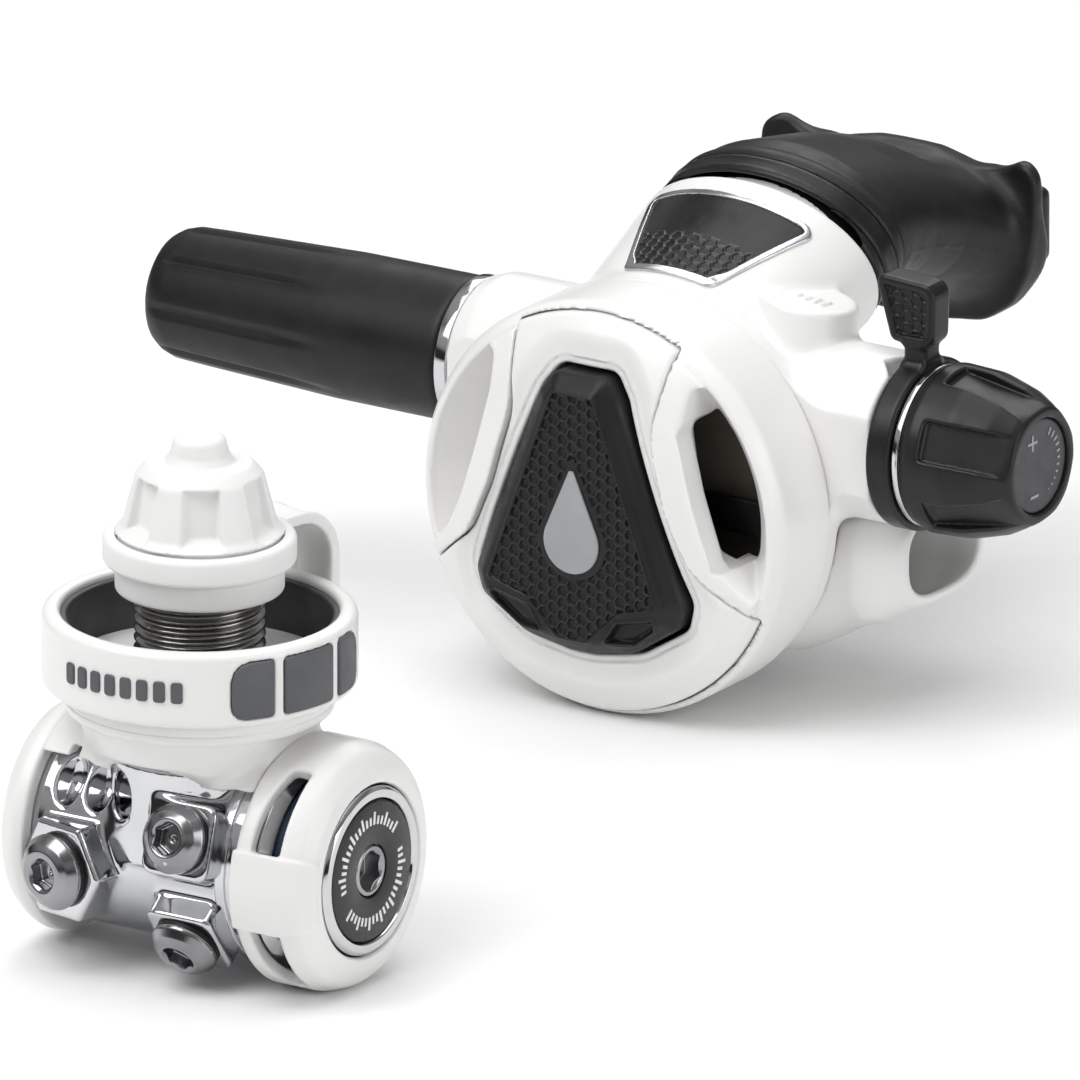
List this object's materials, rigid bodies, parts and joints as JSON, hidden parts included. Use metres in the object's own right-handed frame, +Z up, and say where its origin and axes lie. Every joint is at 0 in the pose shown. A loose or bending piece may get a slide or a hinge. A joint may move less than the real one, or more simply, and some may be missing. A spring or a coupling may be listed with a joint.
{
  "type": "scuba regulator set",
  "caption": "Scuba regulator set: a threaded first stage with handwheel and dust cap, and a second stage with purge button, mouthpiece, adjusting knob and lever, standing side by side.",
  "frame": {"origin": "bottom centre of the whole set, on the plane that both stages stand on", "axes": "+Z up along the cylinder thread, +X along both stages towards the knob and the label disc, -Y to the front where the purge button faces"},
  "size_m": [0.179, 0.287, 0.0948],
  "materials": {
    "white_plastic": "gloss, slightly warm white",
    "soft_white": "satin white elastomer",
    "chrome": "polished chrome on brass",
    "steel": "dark bright steel",
    "spring_steel": "drawn spring wire",
    "brass": "machined brass",
    "black_rubber": "satin black rubber",
    "black_plastic": "satin black moulded plastic",
    "grey_pad": "matte grey grip pads",
    "dark_liner": "dark grey moulded plastic",
    "emblem_silver": "printed silver grey",
    "label_black": "satin black face",
    "label_chrome": "bright frame",
    "silicone_black": "black silicone",
    "silicone_clear": "translucent cream silicone"
  },
  "bodies": {
    "first_stage": {"first_stage_body": "chrome", "diaphragm_chamber": "chrome", "main_diaphragm": "black_rubber", "spring_carrier": "brass", "main_spring": "spring_steel", "spring_end_cap": "chrome", "label_disc": "label_black", "valve_seat": "brass", "seat_spring": "spring_steel", "balance_plug": "brass", "left_bumper": "white_plastic", "right_bumper": "white_plastic", "top_shroud": "white_plastic", "neck_collar": "white_plastic", "lp_port_plugs": "steel", "gauge_port_plugs": "steel", "port_washers": "black_rubber", "din_stem": "chrome", "din_oring": "black_rubber", "din_filter": "brass", "cap_tether": "soft_white"},
    "ip_adjuster": {"ip_adjuster": "steel"},
    "inlet_poppet": {"main_poppet": "brass"},
    "handwheel": {"din_coupling": "steel", "handwheel": "white_plastic", "handwheel_pads": "grey_pad", "handwheel_liner": "dark_liner"},
    "cap_carrier": {"cap_tether_ring": "soft_white"},
    "dust_cap": {"dust_cap": "soft_white"},
    "second_stage": {"case_housing": "white_plastic", "cover_ring": "white_plastic", "cover_plate": "white_plastic", "diaphragm": "silicone_clear", "purge_spring": "spring_steel", "exhaust_tee": "white_plastic", "air_barrel": "chrome", "demand_orifice": "brass", "demand_spring": "spring_steel", "inlet_nut": "chrome", "mouthpiece": "silicone_black", "mouthpiece_clamp": "black_plastic", "label_frame": "label_chrome", "label_plate": "label_black"},
    "purge": {"purge_button": "black_rubber", "purge_emblem": "emblem_silver"},
    "diaphragm_centre": {"diaphragm_plate": "black_plastic"},
    "demand_lever": {"demand_lever": "steel"},
    "demand_poppet": {"demand_poppet": "black_plastic"},
    "spring_seat": {"spring_seat": "brass"},
    "knob": {"adjust_screw": "brass", "knob_ring": "chrome", "knob": "black_rubber", "knob_dial": "grey_pad"},
    "venturi": {"venturi_lever": "black_plastic", "venturi_vane": "black_plastic"},
    "hose_sleeve": {"hose_sleeve": "black_rubber"},
    "exhaust_valve": {"exhaust_valve": "silicone_clear"}
  },
  "joints": [
    {"name": "handwheel_spin", "type": "hinge", "parent": "first_stage", "child": "handwheel", "pos_m": [0.0317, -0.11625, 0.0563], "axis": [0, 0, 1], "continuous": true},
    {"name": "cap_lift", "type": "slide", "parent": "first_stage", "child": "cap_carrier", "axis": [0, 0, 1], "range_m": [0, 0.00726], "deforming": ["cap_tether"]},
    {"name": "cap_unscrew", "type": "hinge", "parent": "cap_carrier", "child": "dust_cap", "pos_m": [0.0317, -0.11625, 0.0813], "axis": [0, 0, 1], "range_deg": [0, 1441]},
    {"name": "adjuster_turn", "type": "hinge", "parent": "first_stage", "child": "ip_adjuster", "pos_m": [0.0656, -0.11425, 0.0213], "axis": [1, 0, 0], "range_deg": [-180, 180]},
    {"name": "inlet_poppet_slide", "type": "slide", "parent": "first_stage", "child": "inlet_poppet", "axis": [-1, 0, 0], "range_m": [0, 0.001], "stiffness_N_per_m": 300, "springref_m": -0.001, "deforming": ["seat_spring"]},
    {"name": "second_stage_lift", "type": "slide", "parent": "first_stage", "child": "second_stage", "axis": [0, 0, 1], "range_m": [0, 0.12]},
    {"name": "purge_press", "type": "slide", "parent": "second_stage", "child": "purge", "axis": [0, 1, 0], "range_m": [0, 0.002], "stiffness_N_per_m": 900, "springref_m": -0.001, "deforming": ["purge_spring", "diaphragm"]},
    {"name": "diaphragm_push", "type": "slide", "parent": "second_stage", "child": "diaphragm_centre", "axis": [0, 1, 0], "range_m": [0, 0.00201]},
    {"name": "demand_lever_tilt", "type": "hinge", "parent": "second_stage", "child": "demand_lever", "pos_m": [0.0345, 0.04955, 0.05], "axis": [0, 0, 1], "range_deg": [-7, 0]},
    {"name": "demand_poppet_slide", "type": "slide", "parent": "second_stage", "child": "demand_poppet", "axis": [1, 0, 0], "range_m": [0, 0.001], "deforming": ["demand_spring"]},
    {"name": "knob_turn", "type": "hinge", "parent": "second_stage", "child": "knob", "pos_m": [0.0775, 0.06065, 0.05], "axis": [1, 0, 0], "range_deg": [-361, 361]},
    {"name": "spring_seat_slide", "type": "slide", "parent": "second_stage", "child": "spring_seat", "axis": [1, 0, 0], "range_m": [-0.001, 0.001]},
    {"name": "venturi_swing", "type": "hinge", "parent": "second_stage", "child": "venturi", "pos_m": [0.0645, 0.06065, 0.05], "axis": [1, 0, 0], "range_deg": [-65, 0]},
    {"name": "sleeve_slide", "type": "slide", "parent": "second_stage", "child": "hose_sleeve", "axis": [-1, 0, 0], "range_m": [0, 0.03]},
    {"name": "exhaust_valve_lift", "type": "slide", "parent": "second_stage", "child": "exhaust_valve", "axis": [0, 0.7071, -0.7071], "range_m": [0, 0.0012], "stiffness_N_per_m": 60, "springref_m": -0.0006}
  ],
  "couplings": [
    {"joint": "cap_unscrew", "follows": "cap_lift", "rad_per_m": 3463.2},
    {"joint": "diaphragm_push", "follows": "purge_press", "ratio": 1},
    {"joint": "demand_lever_tilt", "follows": "purge_press", "rad_per_m": -58.824},
    {"joint": "demand_poppet_slide", "follows": "purge_press", "ratio": 0.4647},
    {"joint": "knob_turn", "follows": "spring_seat_slide", "rad_per_m": 6283.2}
  ]
}
